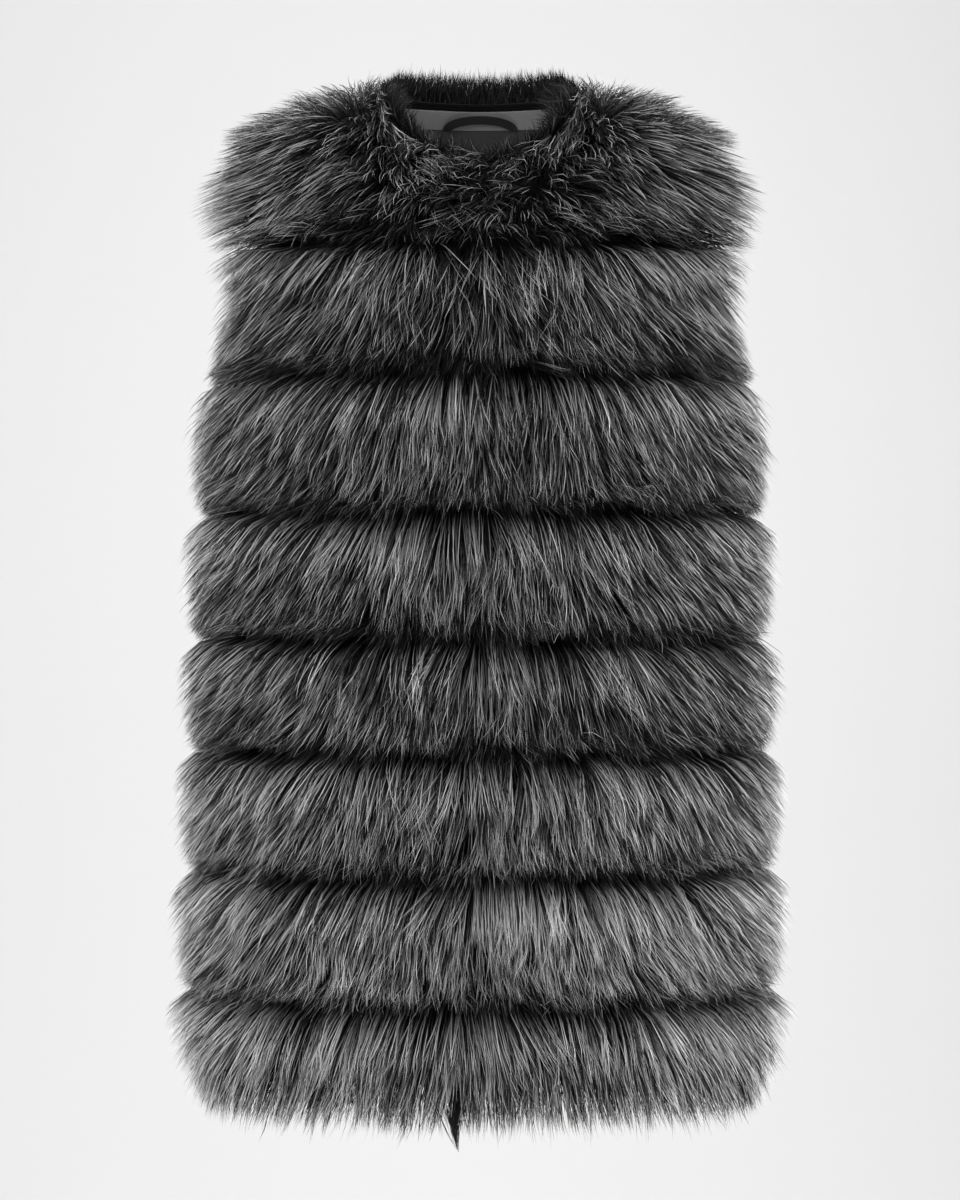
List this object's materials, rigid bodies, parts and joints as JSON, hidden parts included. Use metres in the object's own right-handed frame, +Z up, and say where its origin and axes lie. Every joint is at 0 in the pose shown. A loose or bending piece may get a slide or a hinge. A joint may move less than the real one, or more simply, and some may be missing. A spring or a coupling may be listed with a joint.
{
  "type": "faux fur vest",
  "caption": "A sleeveless, collarless, hip-length vest of long dark grey faux fur with pale tips, cut in level tiers over a satin lining, filled out as if worn.",
  "frame": {"origin": "The middle of the shoulders, level with the neck ends of the shoulder seams, where the wearer's shoulders hold the vest up.", "axes": "+Z up towards the neck, -Y out of the front, +X towards the wearer's left."},
  "size_m": [0.4772, 0.3269, 0.8114],
  "materials": {
    "fur": "long soft pile, near black at the root and pale at the tips",
    "satin": "smooth dark grey satin",
    "ribbon": "plain woven ribbon, nearly black"
  },
  "bodies": {
    "root": {"front_left_tier_1": "fur", "front_left_tier_2": "fur", "front_left_tier_3": "fur", "front_left_tier_4": "fur", "front_left_tier_5": "fur", "front_left_tier_6": "fur", "front_left_tier_7": "fur", "front_left_tier_8": "fur", "front_right_tier_1": "fur", "front_right_tier_2": "fur", "front_right_tier_3": "fur", "front_right_tier_4": "fur", "front_right_tier_5": "fur", "front_right_tier_6": "fur", "front_right_tier_7": "fur", "front_right_tier_8": "fur", "back_tier_1": "fur", "back_tier_2": "fur", "back_tier_3": "fur", "back_tier_4": "fur", "back_tier_5": "fur", "back_tier_6": "fur", "back_tier_7": "fur", "back_tier_8": "fur", "lining_front_left": "satin", "lining_front_right": "satin", "lining_back": "satin", "back_neck_facing": "satin", "hanger_loop": "ribbon"}
  },
  "joints": []
}
